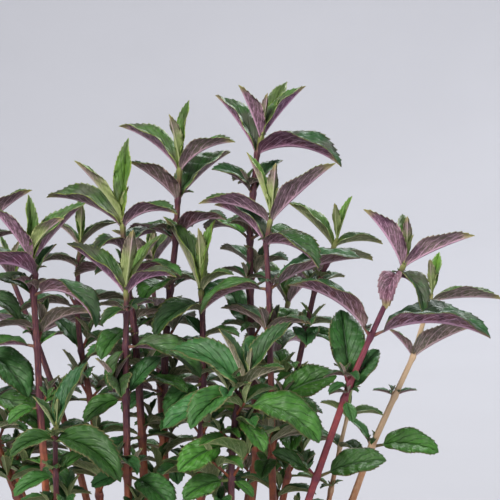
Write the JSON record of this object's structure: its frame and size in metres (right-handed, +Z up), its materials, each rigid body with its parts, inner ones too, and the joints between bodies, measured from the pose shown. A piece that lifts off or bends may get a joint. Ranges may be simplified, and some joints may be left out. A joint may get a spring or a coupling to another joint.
{
  "type": "potted chocolate mint",
  "caption": "Bushy potted mint: upright square stems with opposite pairs of toothed green and purplish leaves, rooted in soil that fills a plain tapered clay pot with a rim band.",
  "frame": {"origin": "middle of the flat underside of the pot", "axes": "+Z up along the stems, -Y towards the side that the picture shows, +X to the right of that view"},
  "size_m": [0.3261, 0.2466, 0.412],
  "materials": {
    "clay": "matte",
    "potting_mix": "matte",
    "mint": "satin"
  },
  "bodies": {
    "root": {"pot": "clay", "soil": "potting_mix", "shoot_red_right": "mint", "shoot_centre": "mint", "shoot_low_centre": "mint", "shoot_front_left": "mint", "shoot_left": "mint", "shoot_second_left": "mint", "shoot_middle": "mint", "shoot_third": "mint", "shoot_tall": "mint", "shoot_behind_right": "mint", "shoot_pale_right": "mint", "shoot_small_left": "mint", "shoot_thin_right": "mint", "shoot_behind_left": "mint", "shoot_far_left": "mint", "shoot_outer_left": "mint", "shoot_back_left": "mint", "shoot_back": "mint", "shoot_back_right": "mint", "shoot_low_back": "mint", "shoot_low_front": "mint"}
  },
  "joints": []
}
